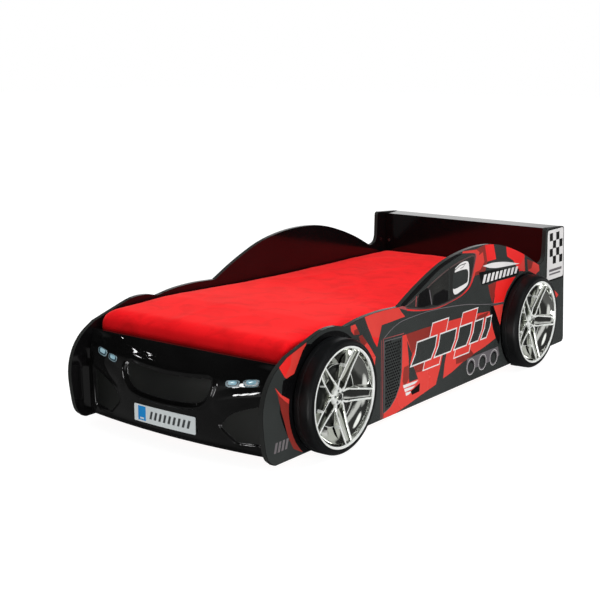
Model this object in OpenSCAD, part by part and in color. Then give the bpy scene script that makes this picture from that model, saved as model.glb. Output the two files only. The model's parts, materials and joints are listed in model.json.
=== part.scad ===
// Car-shaped single bed: two profiled side boards, a moulded bumper, wheel covers and a
// slatted base that carries a 90 x 200 cm mattress. X is the width, Y the length with the
// bumper towards -Y, and Z is up from the floor.

/* [Overall] */
// Length of the profiled side boards
side_len = 2300; // [2240:5:2400]
// Height of the side boards at the rear wing
side_h = 575; // [540:5:620]
// Width over the outer faces of the two side boards
body_w = 944; // [940:2:980]
// Gap between the floor and the side boards' lower edge
ground_gap = 28; // [20:1:60]
// Thickness of every board
board_t = 18; // [16:1:20]
// Thickness of the printed film on the outer faces
film_t = 0.5; // [0.3:0.1:1]

/* [Mattress] */
// Mattress width
mattress_w = 900; // [860:5:900]
// Mattress length
mattress_len = 2000; // [1900:10:2000]
// Mattress thickness
mattress_t = 145; // [100:5:160]
// Thickness of the quilted velour cover
cover_t = 4; // [2:1:8]
// Clearance at the foot and head of the mattress
mattress_gap = 2; // [1:1:10]

/* [Slatted base] */
// Number of slats, which matches the slat nodes
slat_count = 14; // [14:1:14]
// Slat width along the bed
slat_w = 70; // [50:5:90]
// Slat thickness
slat_t = 18; // [15:1:22]
// Height of the slats' top face above the floor
slat_top = 270; // [255:5:290]
// Bed rail thickness
rail_t = 22; // [18:1:25]
// Bed rail height
rail_h = 40; // [30:5:60]

/* [Wheels] */
// Outer radius of the tyre
tyre_r = 209; // [190:1:209]
// Outer radius of the rim
rim_r = 184; // [170:1:188]
// How far the wheel cover stands off the side board
wheel_depth = 75; // [60:1:90]
// Distance of the front axle line from the front tip
front_axle = 370; // [360:5:380]
// Distance between the two axle lines
wheelbase = 1495; // [1480:5:1500]
// Turn of the spoke pairs from level, in degrees
spoke_turn = -8; // [-36:1:36]

/* [Bumper] */
// Wall of the moulded bumper
bumper_wall = 4; // [3:0.5:5]
// Distance of the footboard's front face from the front tip
foot_front = 118; // [118:1:130]
// Thickness of the footboard behind the bumper
foot_t = 16; // [16:1:18]
// Licence plate width
plate_w = 298; // [200:2:320]
// Licence plate height
plate_h = 64; // [40:2:80]
// Height of the plate's middle above the side boards' lower edge
plate_mid = 88; // [80:1:100]

/* [Hidden] */

// Stations along the bed are measured from the front tip of the side boards.
front_tip = -side_len / 2;
panel_out = body_w / 2;
panel_in = panel_out - board_t;
film_out = panel_out + film_t;

foot_back = foot_front + foot_t;
mattress_front = foot_back + mattress_gap;
head_front = mattress_front + mattress_len + mattress_gap;
shelf_depth = 112;
shelf_top = ground_gap + side_h - 12;
shelf_low = shelf_top - board_t;
tail_front = head_front + 87;
board_low = 58;
foot_top = 350;
tail_top = 210;

mattress_low = slat_top + 0.5;
core_gap = 0.5;
core_w = mattress_w - 2 * (cover_t + core_gap);
core_len = mattress_len - 2 * (cover_t + core_gap);
core_t = mattress_t - cover_t - core_gap;

rail_top = slat_top - slat_t;
slat_pitch = (mattress_len - slat_w) / (slat_count - 1);
strap_w = 20;
strap_t = 1.5;
strap_x = 250;

// Fixings: radii, with the clearance of a shank or dowel in its bore.
fit_gap = 0.1;
cam_bolt_r = 3.5;
cam_barrel_r = 7.5;
cam_barrel_t = 12.5;
cam_inset = 25;
dowel_r = 4;
blind_depth = 12;
dowel_half = 15;
screw_r = 2;
screw_head_r = 4.5;
screw_head_t = 2.4;
wheel_screw_grid = 60;
boss_r = 8;

axle_z = ground_gap + 181;
rear_axle = front_axle + wheelbase;
axles = [front_axle, rear_axle];

// Distance along the bed from the front tip, turned into the bed's own Y.
function along(s) = front_tip + s;

// ---- Curves -------------------------------------------------------------------------

// A point on the smooth curve through p[i] and p[i + 1]; the ends use mirrored neighbours.
function before(p, i) = i > 0 ? p[i - 1] : 2 * p[0] - p[1];
function after(p, i) = i + 2 < len(p) ? p[i + 2] : 2 * p[len(p) - 1] - p[len(p) - 2];
function blend(a, b, c, d, t) =
    0.5 * (2 * b + (c - a) * t + (2 * a - 5 * b + 4 * c - d) * t * t
        + (3 * b - a - 3 * c + d) * t * t * t);
// The curve through all of p in a number of steps a span, without its last point.
function curve(p, steps) = [
    for (i = [0:len(p) - 2], k = [0:steps - 1])
        blend(before(p, i), p[i], p[i + 1], after(p, i), k / steps)
];
function arc(c, r, from, to, steps) = [
    for (k = [0:steps]) let (a = from + (to - from) * k / steps) c + r * [cos(a), sin(a)]
];

// ---- Side board outline ---------------------------------------------------------------

// Stations and heights of the board's upper edge, on a board 2300 long and 575 high.
nose = [[58, 3], [25, 34], [9, 93], [0, 190], [20, 266], [64, 323], [129, 364]];
fender = [[129, 364], [233, 394], [332, 420], [410, 421], [472, 407]];
door = [[472, 407], [575, 421], [700, 425], [825, 419]];
roof = [[825, 419], [953, 478], [1125, 540], [1290, 569], [1450, 575],
        [1594, 561], [1731, 526], [1870, 476], [2000, 415]];
flick = [[2000, 415], [2034, 421], [2055, 436], [2066, 470]];
wing_front = 2066;
wing_back = 2256;
wing_drop = 10;
wing_r = 15;
tail_r = 20;
nominal = [2300, 575];

side_outline = [
    for (p = concat(
        curve(nose, 5), curve(fender, 4), curve(door, 4), curve(roof, 4), curve(flick, 3),
        arc([wing_front + wing_r, nominal[1] - wing_r], wing_r, 180, 90, 5),
        arc([wing_back - wing_r, nominal[1] - wing_drop - wing_r], wing_r, 90, 0, 5),
        arc([nominal[0] - tail_r, tail_r], tail_r, 0, -90, 5),
        [[68, 0]]
    )) [p[0] * side_len / nominal[0], p[1] * side_h / nominal[1]]
];

// A plate of the side board's outline between two X planes.
module side_plate(x, t) {
    translate([x, front_tip, ground_gap]) rotate([90, 0, 90])
        linear_extrude(height = t) polygon(side_outline);
}

// ---- Fixings --------------------------------------------------------------------------

module rod_x(x0, x1, y, z, r) {
    translate([x0, y, z]) rotate([0, 90, 0]) cylinder(h = x1 - x0, r = r, $fn = 32);
}

module rod_y(x, y0, y1, z, r) {
    translate([x, y0, z]) rotate([-90, 0, 0]) cylinder(h = y1 - y0, r = r, $fn = 32);
}

// Where the cross boards meet a side board. A cam's third value is the way its barrel
// faces: +1 or -1 along Y, or 0 for straight down.
foot_mid = along(foot_front + foot_t / 2);
head_mid = along(head_front + board_t / 2);
tail_mid = along(tail_front + board_t / 2);
shelf_mid = shelf_top - board_t / 2;
cams = [
    [foot_mid, 110, -1], [foot_mid, 300, -1], [head_mid, 180, -1], [head_mid, 455, -1],
    [tail_mid, 100, -1], [tail_mid, 170, -1],
    [along(head_front + 36), shelf_mid, 0], [along(head_front + 96), shelf_mid, 0]
];
dowel_points = [
    [foot_mid, 80], [foot_mid, 330], [head_mid, 100], [head_mid, 330], [head_mid, 540],
    [tail_mid, 135], [along(head_front + 66), shelf_mid]
];

// Bores that a board's end, or a side board, has for its cams and dowels on the +X side.
module cam_bore(p) {
    rod_x(panel_in - cam_inset, panel_in + blind_depth, p[0], p[1], cam_bolt_r + fit_gap);
}

module dowel_bore(p) {
    rod_x(panel_in - dowel_half, panel_in + dowel_half - 1, p[0], p[1], dowel_r + fit_gap);
}

// A cam barrel set in from one face of its cross board, open to the bolt.
module cam_barrel_space(p, t, r, depth) {
    x = panel_in - cam_inset;
    if (p[2] == 0)
        translate([x, p[0], p[1] - t / 2]) cylinder(h = depth, r = r, $fn = 32);
    else
        translate([x, p[0] + p[2] * t / 2, p[1]]) rotate([p[2] * 90, 0, 0])
            cylinder(h = depth, r = r, $fn = 32);
}

module cross_bores(t) {
    for (side = [0, 1]) mirror([side, 0, 0]) {
        for (p = cams) {
            cam_bore(p);
            cam_barrel_space(p, t, cam_barrel_r + fit_gap, cam_barrel_t + 0.5);
        }
        for (p = dowel_points) dowel_bore(p);
    }
}

// ---- Side boards, film and cross boards --------------------------------------------------

rail_screw_y = [for (k = [0:5]) along(mattress_front + 100 + k * (mattress_len - 200) / 5)];
rail_mid = rail_top - rail_h / 2;
foot_screw_z = ground_gap + 32;

module wheel_screw_places() {
    for (s = axles, dy = [-1, 1], dz = [-1, 1])
        translate([0, along(s) + dy * wheel_screw_grid, axle_z + dz * wheel_screw_grid])
            children();
}

module side_board() {
    difference() {
        side_plate(panel_in, board_t);
        wheel_screw_places() rod_x(panel_in - 1, panel_out + 1, 0, 0, screw_r + fit_gap);
        for (p = cams) cam_bore(p);
        for (p = dowel_points) dowel_bore(p);
        for (y = rail_screw_y)
            rod_x(panel_in - 1, panel_in + blind_depth, y, rail_mid, screw_r + fit_gap);
        for (s = axles, dy = [-20, 20])
            rod_x(panel_in - 1, panel_in + blind_depth, along(s) + dy, foot_screw_z,
                screw_r + fit_gap);
    }
}

module left_side_panel() {
    color("#17181a") side_board();
}

module right_side_panel() {
    color("#17181a") mirror([1, 0, 0]) side_board();
}

module film() {
    difference() {
        side_plate(panel_out, film_t);
        wheel_screw_places() rod_x(panel_out - 1, film_out + 1, 0, 0, screw_r + fit_gap);
    }
}

module left_graphic_film() {
    color("#c9211c") film();
}

module right_graphic_film() {
    color("#c9211c") mirror([1, 0, 0]) film();
}

// A cross board between the side boards.
module cross_board(s, t, low, high) {
    difference() {
        translate([-panel_in, along(s), low]) cube([2 * panel_in, t, high - low]);
        cross_bores(min(t, board_t));
        children();
    }
}

module headboard_panel() {
    color("#141416") cross_board(head_front, board_t, board_low, shelf_low);
}

module footboard_panel() {
    color("#141416") cross_board(foot_front, foot_t, board_low, foot_top)
        bumper_screw_places() rod_y(0, along(foot_front - 1), along(foot_back + 1), 0,
            screw_r + fit_gap);
}

module spoiler_shelf() {
    color("#3a3b3d") cross_board(head_front, shelf_depth, shelf_low, shelf_top);
}

module tail_rail() {
    color("#141416") cross_board(tail_front, board_t, board_low, tail_top);
}

module cam_barrels() {
    color("silver") for (side = [0, 1]) mirror([side, 0, 0]) for (p = cams)
        difference() {
            cam_barrel_space(p, p[0] == foot_mid ? foot_t : board_t, cam_barrel_r, cam_barrel_t);
            cam_bore(p);
        }
}

module cam_bolts() {
    color("silver") for (side = [0, 1]) mirror([side, 0, 0]) for (p = cams)
        rod_x(panel_in - cam_inset + 1, panel_in + blind_depth - 1, p[0], p[1], cam_bolt_r);
}

module dowels() {
    color("burlywood") for (side = [0, 1]) mirror([side, 0, 0]) for (p = dowel_points)
        rod_x(panel_in - dowel_half + 1, panel_in + dowel_half - 2, p[0], p[1], dowel_r);
}

// ---- Slatted base ---------------------------------------------------------------------

module rail() {
    difference() {
        translate([panel_in - rail_t, along(foot_back), rail_top - rail_h])
            cube([rail_t, head_front - foot_back, rail_h]);
        for (y = rail_screw_y)
            rod_x(panel_in - rail_t - 1, panel_in + 1, y, rail_mid, screw_r + fit_gap);
    }
}

module left_bed_rail() {
    color("tan") rail();
}

module right_bed_rail() {
    color("tan") mirror([1, 0, 0]) rail();
}

module slat(k) {
    color("wheat")
        translate([-panel_in + 4, along(mattress_front) + k * slat_pitch, rail_top])
            cube([2 * panel_in - 8, slat_w, slat_t]);
}

module slat_straps() {
    color("beige") for (x = [-strap_x, strap_x])
        translate([x - strap_w / 2, along(mattress_front), rail_top - strap_t])
            cube([strap_w, mattress_len, strap_t]);
}

// A screw from inside the bed into the side board, with its head at x.
module side_screw(x, reach) {
    rod_x(x, x + screw_head_t, 0, 0, screw_head_r);
    rod_x(x + screw_head_t, x + screw_head_t + reach, 0, 0, screw_r);
}

module rail_screws() {
    color("gray") for (side = [0, 1]) mirror([side, 0, 0]) for (y = rail_screw_y)
        translate([0, y, rail_mid])
            side_screw(panel_in - rail_t - screw_head_t, rail_t + blind_depth - 1);
}

// ---- Feet ---------------------------------------------------------------------------------

foot_len = 70;
foot_w = 34;
foot_up = 50;
foot_leaf = 5;

module bed_foot(s) {
    color("black") difference() {
        union() {
            translate([panel_out - 2 - foot_w, along(s) - foot_len / 2, 0])
                cube([foot_w, foot_len, ground_gap]);
            translate([panel_in - foot_leaf, along(s) - foot_len / 2, 0])
                cube([foot_leaf, foot_len, ground_gap + foot_up]);
        }
        for (dy = [-20, 20])
            rod_x(panel_in - foot_leaf - 1, panel_in + 1, along(s) + dy, foot_screw_z,
                screw_r + fit_gap);
    }
}

module foot_screws() {
    color("gray") for (side = [0, 1]) mirror([side, 0, 0]) for (s = axles, dy = [-20, 20])
        translate([0, along(s) + dy, foot_screw_z])
            side_screw(panel_in - foot_leaf - screw_head_t, foot_leaf + blind_depth - 1);
}

// ---- Wheel covers --------------------------------------------------------------------------
// Drawn about the Z axis, with z = 0 at the side board's film, then laid on the board.

tyre_wall = 5;
shoulder_r = 20;
lip_w = 6;
seat_z = wheel_depth - 5;
rim_floor = 22;
rim_wall = 4;
hub_r = 32;
hub_z = 44;
lug_ring_r = 22;

// Lays a wheel part on the left board at station s, or on the right one with side = 1.
module wheel_place(s, side) {
    mirror([side, 0, 0]) translate([film_out, along(s), axle_z]) rotate([90, 0, 90]) children();
}

// Half section of the tyre: tread, rounded shoulder, face and the seat for the rim's lip.
module tyre_section() {
    polygon(concat(
        [[rim_r - lip_w, 0], [tyre_r, 0]],
        arc([tyre_r - shoulder_r, wheel_depth - shoulder_r], shoulder_r, 0, 90, 8),
        [[rim_r + 0.5, wheel_depth], [rim_r + 0.5, seat_z], [rim_r - lip_w, seat_z]]
    ));
}

// Half section of the hollow inside the tyre, open towards the side board.
module tyre_hollow() {
    inner_shoulder = shoulder_r - tyre_wall;
    polygon(concat(
        [[rim_r - lip_w + tyre_wall, -1], [tyre_r - tyre_wall, -1]],
        arc([tyre_r - shoulder_r, wheel_depth - shoulder_r], inner_shoulder, 0, 80, 6),
        [[rim_r - lip_w + tyre_wall, seat_z - tyre_wall]]
    ));
}

module tyre() {
    color("#101011") rotate_extrude($fn = 96) difference() {
        tyre_section();
        tyre_hollow();
    }
}

// Half section of the rim: the lip over the tyre, the sloping barrel and the floor behind
// the spokes.
module rim_section() {
    seat_r = rim_r - lip_w - 0.5;
    polygon([
        [0, rim_floor], [160, rim_floor], [172, seat_z - 8], [seat_r, seat_z - 8],
        [seat_r, seat_z + 0.5], [rim_r, seat_z + 0.5], [rim_r, wheel_depth], [173, wheel_depth],
        [156, rim_floor + rim_wall], [0, rim_floor + rim_wall]
    ]);
}

// The band that the spokes are cut from: high at the rim and dished towards the hub.
module spoke_band() {
    rotate_extrude($fn = 96) polygon([
        [0, rim_floor + 1], [60, rim_floor + 1], [163, 42], [168, wheel_depth - 8],
        [hub_r + 8, hub_z - 2], [0, hub_z - 2]
    ]);
}

// One pair of spokes around the +X direction: two bars that draw in slightly towards the rim.
module spoke_pair() {
    for (m = [0, 1]) mirror([0, m])
        polygon([[24, 14], [24, 26], [60, 27], [174, 23], [174, 11], [60, 15]]);
}

module rim() {
    color("silver") difference() {
        union() {
            rotate_extrude($fn = 96) rim_section();
            intersection() {
                spoke_band();
                linear_extrude(height = wheel_depth) {
                    circle(r = hub_r, $fn = 64);
                    for (k = [0:4]) rotate(spoke_turn + 72 * k) spoke_pair();
                }
            }
            for (dx = [-1, 1], dy = [-1, 1])
                translate([dx * wheel_screw_grid, dy * wheel_screw_grid, 0])
                    cylinder(h = rim_floor + 1, r = boss_r, $fn = 32);
        }
        for (dx = [-1, 1], dy = [-1, 1])
            translate([dx * wheel_screw_grid, dy * wheel_screw_grid, -1])
                cylinder(h = rim_floor - 5, r = screw_r + fit_gap, $fn = 32);
        for (k = [0:4]) rotate(spoke_turn + 36 + 72 * k) translate([lug_ring_r, 0, hub_z - 10])
            cylinder(h = 20, r = 3 + fit_gap, $fn = 24);
    }
}

module hub_cap() {
    color("gainsboro") translate([0, 0, hub_z - 2]) rotate_extrude($fn = 48)
        polygon(concat([[0, 0], [14, 0]], arc([9, 5], 5, 0, 90, 5), [[0, 11]]));
}

module lug_bolts() {
    color("gray") for (k = [0:4]) rotate(spoke_turn + 36 + 72 * k) translate([lug_ring_r, 0, 0]) {
        translate([0, 0, hub_z - 9.5]) cylinder(h = 8, r = 3, $fn = 24);
        translate([0, 0, hub_z - 2]) cylinder(h = 5, r = 4.5, $fn = 6);
    }
}

module wheel_screws() {
    color("gray") for (side = [0, 1]) mirror([side, 0, 0]) wheel_screw_places()
        side_screw(panel_in - screw_head_t, board_t + film_t + rim_floor - 8);
}

// ---- Bumper -------------------------------------------------------------------------------

// Sections of the bumper's outer face from the top lip to the bottom lip: height above the
// side board's lower edge, station at the ends, and how far the middle bows forwards.
bumper_face = [
    [335, 118, 0], [318, 110, 18], [296, 104, 38], [268, 100, 60], [220, 97, 72],
    [150, 97, 75], [80, 98, 74], [40, 99, 66], [18, 101, 52]
];
bumper_curve = curve(bumper_face, 2);
bumper_rows = concat(
    [[335, foot_back, 0]], bumper_curve, [[18, 101, 52], [5, 108, 36]]
);
bumper_half = panel_in - 0.5;
bumper_columns = 24;

// The section of the outer face at one height.
function row_at(z) = [
    z,
    lookup(z, [for (row = bumper_curve) [row[0], row[1]]]),
    lookup(z, [for (row = bumper_curve) [row[0], row[2]]])
];
function rows_between(high, low, steps) =
    [for (k = [0:steps]) row_at(high + (low - high) * k / steps)];
function bumper_point(row, x) =
    [along(row[1] - row[2] * (1 - pow(x / bumper_half, 2))), ground_gap + row[0]];
function bumper_line(rows, x) = [for (row = rows) bumper_point(row, x)];
function unit(v) = v / max(norm(v), 0.001);
// Points of a line moved by d to the inside of the bumper.
function inset(line, d) = [
    for (i = [0:len(line) - 1]) let (
        a = line[max(i - 1, 0)], b = line[min(i + 1, len(line) - 1)], n = unit(b - a)
    ) line[i] + d * [-n[1], n[0]]
];

// The layer between two depths behind the bumper's outer face, from one X to another. A
// negative depth stands in front of the face.
module bumper_layer(rows, from, to, x0, x1, columns) {
    rings = [
        for (k = [0:columns]) let (
            x = x0 + (x1 - x0) * k / columns, line = bumper_line(rows, x),
            outer = inset(line, from), inner = inset(line, to), n = len(line)
        ) concat(
            [for (p = outer) [x, p[0], p[1]]],
            [for (i = [n - 1:-1:0]) [x, inner[i][0], inner[i][1]]]
        )
    ];
    m = len(rings[0]);
    last = columns * m;
    quads = concat(
        [for (k = [0:columns - 1], i = [0:m - 1])
            [k * m + i, (k + 1) * m + i, (k + 1) * m + (i + 1) % m, k * m + (i + 1) % m]],
        [for (i = [0:len(rows) - 2]) [i, i + 1, m - 2 - i, m - 1 - i]],
        [for (i = [0:len(rows) - 2])
            [last + m - 1 - i, last + m - 2 - i, last + i + 1, last + i]]
    );
    polyhedron(
        points = [for (ring = rings) each ring],
        faces = [for (q = quads) each [[q[0], q[1], q[2]], [q[0], q[2], q[3]]]]
    );
}

module front_bumper() {
    color("#0c0c0e")
        bumper_layer(bumper_rows, 0, bumper_wall, -bumper_half, bumper_half, bumper_columns);
}

// What is stuck on the bumper stands this far off its facets, on its tape.
stick_gap = 0.5;
plate_t = 3;

module licence_plate() {
    rows = rows_between(plate_mid + plate_h / 2, plate_mid - plate_h / 2, 4);
    color("white") bumper_layer(rows, -plate_t, -stick_gap, -plate_w / 2, plate_w / 2, 10);
}

// One pair of lenses, each given by its middle and its width.
lens_h = 22;
lens_t = 1.6;
lenses = [[361, 266, 52], [292, 258, 48]];

module headlight() {
    for (lens = lenses)
        bumper_layer(rows_between(lens[1] + lens_h / 2, lens[1] - lens_h / 2, 4),
            -lens_t, -stick_gap, lens[0] - lens[2] / 2, lens[0] + lens[2] / 2, 4);
}

module headlight_left() {
    color("lightblue") headlight();
}

module headlight_right() {
    color("lightblue") mirror([1, 0, 0]) headlight();
}

// Wooden blocks that stand on the footboard and back the bumper's face.
block_w = 60;
block_h = 30;
block_screw = 8;
// Their middles in X and Z: the outer two under the headlights, the inner two behind the plate.
block_places = [[-330, 250], [-100, 116], [100, 116], [330, 250]];

module bumper_screw_places() {
    for (p = block_places, dz = [-block_screw, block_screw])
        translate([p[0], 0, p[1] + dz]) children();
}

// Where a block's front face stands, just behind the bumper's wall.
function block_front(p) =
    bumper_point(row_at(p[1] - ground_gap + block_h / 2), abs(p[0]) + block_w / 2)[0]
    + bumper_wall + 2;

module bumper_blocks() {
    color("tan") for (p = block_places) difference() {
        translate([p[0] - block_w / 2, block_front(p), p[1] - block_h / 2])
            cube([block_w, along(foot_front) - block_front(p) - fit_gap, block_h]);
        for (dz = [-block_screw, block_screw])
            rod_y(p[0], along(foot_front - 22), along(foot_front + 1), p[1] + dz,
                screw_r + fit_gap);
    }
}

module bumper_screws() {
    color("gray") bumper_screw_places() {
        rod_y(0, along(foot_front - 20), along(foot_back), 0, screw_r);
        rod_y(0, along(foot_back), along(foot_back) + 1.6, 0, screw_head_r);
    }
}

// ---- Mattress ------------------------------------------------------------------------------

module mattress_core() {
    color("ivory") translate([-core_w / 2, along(mattress_front) + cover_t + core_gap, mattress_low])
        cube([core_w, core_len, core_t]);
}

module mattress_cover() {
    hollow = cover_t;
    color("red") difference() {
        translate([-mattress_w / 2, along(mattress_front), mattress_low])
            cube([mattress_w, mattress_len, mattress_t]);
        translate([-mattress_w / 2 + hollow, along(mattress_front) + hollow, mattress_low - 1])
            cube([mattress_w - 2 * hollow, mattress_len - 2 * hollow, mattress_t - hollow + 1]);
    }
}

// ---- Nodes ---------------------------------------------------------------------------------

left_side_panel();
right_side_panel();
left_graphic_film();
right_graphic_film();
headboard_panel();
footboard_panel();
spoiler_shelf();
tail_rail();
left_bed_rail();
right_bed_rail();
slat(0);  // slat_01
slat(1);  // slat_02
slat(2);  // slat_03
slat(3);  // slat_04
slat(4);  // slat_05
slat(5);  // slat_06
slat(6);  // slat_07
slat(7);  // slat_08
slat(8);  // slat_09
slat(9);  // slat_10
slat(10);  // slat_11
slat(11);  // slat_12
slat(12);  // slat_13
slat(13);  // slat_14
slat_straps();
bed_foot(front_axle);  // foot_front_left
mirror([1, 0, 0]) bed_foot(front_axle);  // foot_front_right
bed_foot(rear_axle);  // foot_rear_left
mirror([1, 0, 0]) bed_foot(rear_axle);  // foot_rear_right
wheel_place(front_axle, 0) tyre();  // tyre_front_left
wheel_place(front_axle, 1) tyre();  // tyre_front_right
wheel_place(rear_axle, 0) tyre();  // tyre_rear_left
wheel_place(rear_axle, 1) tyre();  // tyre_rear_right
wheel_place(front_axle, 0) rim();  // rim_front_left
wheel_place(front_axle, 1) rim();  // rim_front_right
wheel_place(rear_axle, 0) rim();  // rim_rear_left
wheel_place(rear_axle, 1) rim();  // rim_rear_right
wheel_place(front_axle, 0) hub_cap();  // hub_cap_front_left
wheel_place(front_axle, 1) hub_cap();  // hub_cap_front_right
wheel_place(rear_axle, 0) hub_cap();  // hub_cap_rear_left
wheel_place(rear_axle, 1) hub_cap();  // hub_cap_rear_right
wheel_place(front_axle, 0) lug_bolts();  // lug_bolts_front_left
wheel_place(front_axle, 1) lug_bolts();  // lug_bolts_front_right
wheel_place(rear_axle, 0) lug_bolts();  // lug_bolts_rear_left
wheel_place(rear_axle, 1) lug_bolts();  // lug_bolts_rear_right
wheel_screws();
front_bumper();
bumper_blocks();
bumper_screws();
licence_plate();
headlight_left();
headlight_right();
cam_barrels();
cam_bolts();
dowels();
rail_screws();
foot_screws();
mattress_core();
mattress_cover();
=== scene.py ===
"""Looks of the race car bed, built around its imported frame. Lengths in the tables below are
in millimetres: stations run back from the front tip of the side boards, and heights run up
from the boards' lower edge."""

import json
import math

import bmesh
import bpy
import numpy as np
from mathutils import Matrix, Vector, noise
from mathutils.geometry import delaunay_2d_cdt


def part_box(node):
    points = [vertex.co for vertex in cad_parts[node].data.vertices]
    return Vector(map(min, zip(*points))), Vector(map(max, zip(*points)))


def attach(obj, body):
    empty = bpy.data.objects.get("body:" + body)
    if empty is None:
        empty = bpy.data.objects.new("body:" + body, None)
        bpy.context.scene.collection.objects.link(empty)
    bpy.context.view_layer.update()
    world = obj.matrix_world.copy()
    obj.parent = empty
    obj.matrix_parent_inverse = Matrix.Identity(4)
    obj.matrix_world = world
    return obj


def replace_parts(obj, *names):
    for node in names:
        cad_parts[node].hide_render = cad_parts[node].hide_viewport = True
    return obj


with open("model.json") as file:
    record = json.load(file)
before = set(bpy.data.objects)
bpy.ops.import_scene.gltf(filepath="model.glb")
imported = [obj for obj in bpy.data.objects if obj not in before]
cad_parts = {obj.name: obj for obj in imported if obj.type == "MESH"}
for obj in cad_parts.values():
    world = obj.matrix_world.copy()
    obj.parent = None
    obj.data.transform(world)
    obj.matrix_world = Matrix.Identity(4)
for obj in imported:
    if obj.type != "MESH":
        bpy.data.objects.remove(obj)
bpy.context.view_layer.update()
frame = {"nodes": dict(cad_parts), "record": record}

MM = 0.001
BOARD_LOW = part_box("left_side_panel")[0]
FILM_LOW, FILM_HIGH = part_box("left_graphic_film")
MATTRESS_LOW, MATTRESS_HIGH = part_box("mattress_cover")
BODY, SOFT = "frame", "mattress"
SCENE = bpy.context.scene


def along(station):
    return BOARD_LOW.y + station * MM


def up(height):
    return BOARD_LOW.z + height * MM


# ---- Meshes ----

def add_object(name, data):
    obj = bpy.data.objects.new(name, data)
    SCENE.collection.objects.link(obj)
    return obj


def piece(name, points, faces, materials, slots=None, body=BODY, sharp=38.0):
    """A mesh object that rides on a body, smooth except at edges sharper than an angle."""
    mesh = bpy.data.meshes.new(name)
    mesh.from_pydata([tuple(p) for p in points], [], faces)
    obj = add_object(name, mesh)
    for m in materials:
        mesh.materials.append(m)
    if slots is not None:
        mesh.polygons.foreach_set("material_index", slots)
    mesh.polygons.foreach_set("use_smooth", [True] * len(mesh.polygons))
    mesh.set_sharp_from_angle(angle=math.radians(sharp))
    mesh.update()
    if body:
        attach(obj, body)
    return obj


def tidy_normals(obj):
    """Turns every face of a closed mesh outwards."""
    work = bmesh.new()
    work.from_mesh(obj.data)
    bmesh.ops.recalc_face_normals(work, faces=work.faces)
    work.to_mesh(obj.data)
    work.free()
    obj.data.set_sharp_from_angle(angle=math.radians(40))


class Shape:
    """Points and faces gathered from several closed solids, each with a material number."""

    def __init__(self):
        self.points, self.faces, self.slots = [], [], []

    def add(self, points, faces, slot=0):
        first = len(self.points)
        self.points += [tuple(p) for p in points]
        self.faces += [tuple(first + i for i in f) for f in faces]
        self.slots += [slot] * len(faces)

    def ring_solid(self, rings, slot=0, closed=False):
        """Sections of equal length joined one to the next, capped at the ends or closed."""
        n, count = len(rings[0]), len(rings)
        faces = []
        for k in range(count if closed else count - 1):
            a, b = k * n, (k + 1) % count * n
            faces += [(a + i, b + i, b + (i + 1) % n, a + (i + 1) % n) for i in range(n)]
        if not closed:
            faces += [tuple(range(n)), tuple((count - 1) * n + i for i in range(n - 1, -1, -1))]
        self.add([p for ring in rings for p in ring], faces, slot)


def catmull(points, steps):
    """A smooth curve through the points, with a number of steps in each span."""
    p = [np.array(q, float) for q in points]
    p = [2 * p[0] - p[1]] + p + [2 * p[-1] - p[-2]]
    out = []
    for i in range(1, len(p) - 2):
        for k in range(steps):
            t = k / steps
            out.append(0.5 * (
                2 * p[i] + (p[i + 1] - p[i - 1]) * t
                + (2 * p[i - 1] - 5 * p[i] + 4 * p[i + 1] - p[i + 2]) * t ** 2
                + (3 * p[i] - p[i - 1] - 3 * p[i + 1] + p[i + 2]) * t ** 3))
    return out + [p[-2]]


def arc(centre, radius, start, end, steps):
    """Points of a flat arc between two angles in degrees."""
    angles = [math.radians(start + (end - start) * k / steps) for k in range(steps + 1)]
    return [(centre[0] + radius * math.cos(a), centre[1] + radius * math.sin(a)) for a in angles]


def circle(centre, radius, steps=48):
    return arc(centre, radius, 0, 360, steps)[:-1]


def offset(loop, distance):
    """The loop moved outwards by a distance, whichever way round it runs."""
    p = np.array(loop, float)
    area = 0.5 * np.sum(p[:, 0] * np.roll(p[:, 1], -1) - np.roll(p[:, 0], -1) * p[:, 1])
    turn = 1 if area > 0 else -1
    before, after = p - np.roll(p, 1, 0), np.roll(p, -1, 0) - p
    before /= np.linalg.norm(before, axis=1)[:, None]
    after /= np.linalg.norm(after, axis=1)[:, None]
    n1, n2 = np.c_[before[:, 1], -before[:, 0]], np.c_[after[:, 1], -after[:, 0]]
    m = (n1 + n2) / np.maximum(1 + np.sum(n1 * n2, 1), 0.35)[:, None]
    return [tuple(q) for q in p + turn * distance * m]


def stroke(line, width):
    """A band of a constant width along an open line."""
    p = np.array(line, float)
    d = np.gradient(p, axis=0)
    d /= np.linalg.norm(d, axis=1)[:, None]
    n = np.c_[-d[:, 1], d[:, 0]] * width / 2
    return [tuple(q) for q in np.r_[p + n, (p - n)[::-1]]]


def inside(points, loop):
    """Which of the points are inside the loop."""
    x, y = points[:, 0], points[:, 1]
    result = np.zeros(len(points), bool)
    for (x0, y0), (x1, y1) in zip(loop, loop[1:] + loop[:1]):
        if y0 != y1:
            crosses = (y0 > y) != (y1 > y)
            result ^= crosses & (x < (x1 - x0) * (y - y0) / (y1 - y0) + x0)
    return result


def distance(points, loop):
    """Signed distance from each point to the loop, negative inside it."""
    best = np.full(len(points), 1e9)
    for a, b in zip(loop, loop[1:] + loop[:1]):
        a, b = np.array(a, float), np.array(b, float)
        t = np.clip(((points - a) @ (b - a)) / max((b - a) @ (b - a), 1e-9), 0, 1)
        best = np.minimum(best, np.linalg.norm(points - a - t[:, None] * (b - a), axis=1))
    return np.where(inside(points, loop), -best, best)


def step(value, low, high):
    """0 below low, 1 above high and smooth between."""
    t = np.clip((value - low) / (high - low), 0, 1)
    return t * t * (3 - 2 * t)


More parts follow.
